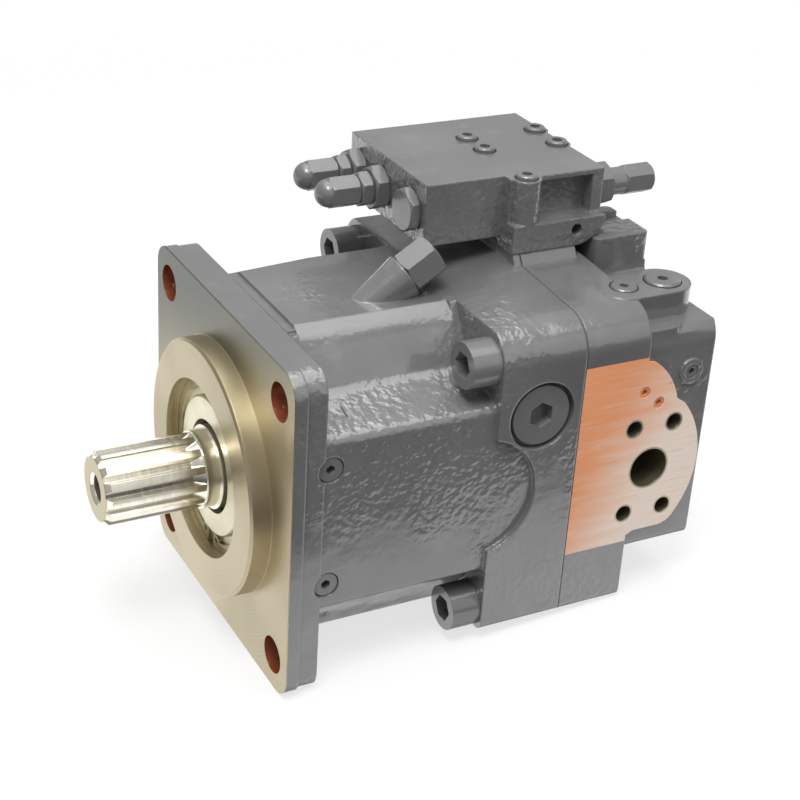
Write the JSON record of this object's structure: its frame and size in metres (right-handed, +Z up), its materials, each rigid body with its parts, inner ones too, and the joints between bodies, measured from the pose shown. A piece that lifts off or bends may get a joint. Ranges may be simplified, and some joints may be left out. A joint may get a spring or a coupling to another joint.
{
  "type": "axial piston pump",
  "caption": "Variable displacement swashplate axial piston pump with splined shaft, square mounting flange, side ports and a valve block with adjusters on top.",
  "frame": {"origin": "centre of the mounting flange's front face, on the shaft axis", "axes": "-X out along the drive shaft, +X to the rear, +Z up, -Y the pressure port side, +Y the suction port side"},
  "size_m": [0.3646, 0.203, 0.265],
  "materials": {
    "casting_paint": "gloss grey paint over rough casting, machined flange face",
    "port_casting_paint": "gloss grey paint over rough casting, primed port face",
    "painted_screw": "gloss grey paint over steel",
    "painted_fitting": "gloss grey paint over steel",
    "masked_plug": "primer over steel",
    "gasket": "matt fibre",
    "machined_iron": "turned",
    "seal_rubber": "matt",
    "spring_steel": "satin",
    "bearing_steel": "ground and polished",
    "hardened_steel": "ground",
    "block_steel": "turned",
    "bronze": "satin",
    "shaft_steel": "turned and hobbed",
    "swash_iron": "cast, lapped running face"
  },
  "bodies": {
    "casing": {"pump_housing": "casting_paint", "joint_gasket": "gasket", "port_plate": "port_casting_paint", "control_block": "casting_paint", "seal_carrier": "machined_iron", "shaft_seal": "seal_rubber", "seal_circlip": "spring_steel", "front_bearing_outer_race": "bearing_steel", "rear_bearing_outer_race": "bearing_steel", "cradle_races": "bearing_steel", "valve_plate": "hardened_steel", "valve_plate_pin": "hardened_steel", "stroke_piston_sleeve": "hardened_steel", "counter_piston_sleeve": "hardened_steel", "joint_dowels": "hardened_steel", "main_cap_screws": "painted_screw", "control_block_screws": "painted_screw", "drain_plugs": "painted_screw", "housing_gauge_plugs": "painted_screw", "vent_plug": "painted_fitting", "port_face_plugs": "masked_plug", "small_boss_plug": "painted_screw", "large_boss_plug": "painted_screw", "rear_side_plug": "painted_screw", "control_end_plug": "painted_fitting", "adjuster_bodies": "painted_fitting", "adjuster_lock_nuts": "painted_fitting", "adjuster_caps": "painted_fitting", "power_adjuster_body": "painted_fitting", "power_adjuster_cap": "painted_fitting"},
    "rotating_group": {"drive_shaft": "shaft_steel", "front_bearing_inner_race": "bearing_steel", "rear_bearing_inner_race": "bearing_steel", "cylinder_block": "block_steel", "pistons": "hardened_steel", "guide_ball": "hardened_steel", "block_spring": "spring_steel", "spring_washers": "spring_steel"},
    "front_roller_set": {"front_bearing_rollers": "bearing_steel", "front_bearing_cage": "bronze"},
    "rear_roller_set": {"rear_bearing_rollers": "bearing_steel", "rear_bearing_cage": "bronze"},
    "swash": {"swashplate": "swash_iron"},
    "cradle_roller_set": {"cradle_rollers": "bearing_steel", "cradle_cages": "bronze"},
    "slipper_ring": {"slippers": "bronze", "retaining_plate": "hardened_steel"},
    "stroke_plunger": {"stroke_piston": "hardened_steel"},
    "counter_plunger": {"counter_piston": "hardened_steel", "counter_spring": "spring_steel"},
    "pressure_valve": {"pressure_spool": "hardened_steel", "pressure_spring": "spring_steel"},
    "flow_valve": {"flow_spool": "hardened_steel", "flow_spring": "spring_steel"},
    "power_valve": {"power_spool": "hardened_steel", "power_spring": "spring_steel"},
    "pressure_setting": {"pressure_adjusting_screw": "hardened_steel"},
    "flow_setting": {"flow_adjusting_screw": "hardened_steel"},
    "power_setting": {"power_adjusting_screw": "hardened_steel"}
  },
  "joints": [
    {"name": "shaft_spin", "type": "hinge", "parent": "casing", "child": "rotating_group", "pos_m": [0, 0, 0], "axis": [1, 0, 0], "continuous": true},
    {"name": "front_rollers_spin", "type": "hinge", "parent": "casing", "child": "front_roller_set", "pos_m": [0, 0, 0], "axis": [1, 0, 0], "continuous": true},
    {"name": "rear_rollers_spin", "type": "hinge", "parent": "casing", "child": "rear_roller_set", "pos_m": [0, 0, 0], "axis": [1, 0, 0], "continuous": true},
    {"name": "swash_tilt", "type": "hinge", "parent": "casing", "child": "swash", "pos_m": [0.096, 0, 0], "axis": [0, 1, 0], "range_deg": [0, 19.5], "deforming": ["pistons"]},
    {"name": "cradle_rollers_roll", "type": "hinge", "parent": "casing", "child": "cradle_roller_set", "pos_m": [0.096, 0, 0], "axis": [0, 1, 0], "range_deg": [0, 9.75]},
    {"name": "slipper_spin", "type": "hinge", "parent": "swash", "child": "slipper_ring", "pos_m": [0.096, 0, 0], "axis": [1, 0, 0], "continuous": true},
    {"name": "stroke_slide", "type": "slide", "parent": "casing", "child": "stroke_plunger", "axis": [1, 0, 0], "range_m": [0, 0.0285]},
    {"name": "counter_slide", "type": "slide", "parent": "casing", "child": "counter_plunger", "axis": [-1, 0, 0], "range_m": [0, 0.0247], "deforming": ["counter_spring"]},
    {"name": "pressure_spool_slide", "type": "slide", "parent": "casing", "child": "pressure_valve", "axis": [-1, 0, 0], "range_m": [0, 0.004], "deforming": ["pressure_spring"]},
    {"name": "flow_spool_slide", "type": "slide", "parent": "casing", "child": "flow_valve", "axis": [-1, 0, 0], "range_m": [0, 0.004], "deforming": ["flow_spring"]},
    {"name": "power_spool_slide", "type": "slide", "parent": "casing", "child": "power_valve", "axis": [1, 0, 0], "range_m": [0, 0.004], "deforming": ["power_spring"]},
    {"name": "pressure_setting_slide", "type": "slide", "parent": "casing", "child": "pressure_setting", "axis": [1, 0, 0], "range_m": [0, 0.003], "deforming": ["pressure_spring"]},
    {"name": "flow_setting_slide", "type": "slide", "parent": "casing", "child": "flow_setting", "axis": [1, 0, 0], "range_m": [0, 0.003], "deforming": ["flow_spring"]},
    {"name": "power_setting_slide", "type": "slide", "parent": "casing", "child": "power_setting", "axis": [-1, 0, 0], "range_m": [0, 0.003], "deforming": ["power_spring"]}
  ],
  "couplings": [
    {"joint": "front_rollers_spin", "follows": "shaft_spin", "ratio": 0.4329},
    {"joint": "rear_rollers_spin", "follows": "shaft_spin", "ratio": 0.4278},
    {"joint": "slipper_spin", "follows": "shaft_spin", "ratio": 1},
    {"joint": "cradle_rollers_roll", "follows": "swash_tilt", "ratio": 0.5},
    {"joint": "stroke_slide", "follows": "swash_tilt", "m_per_rad": 0.08324},
    {"joint": "counter_slide", "follows": "swash_tilt", "m_per_rad": 0.072}
  ]
}
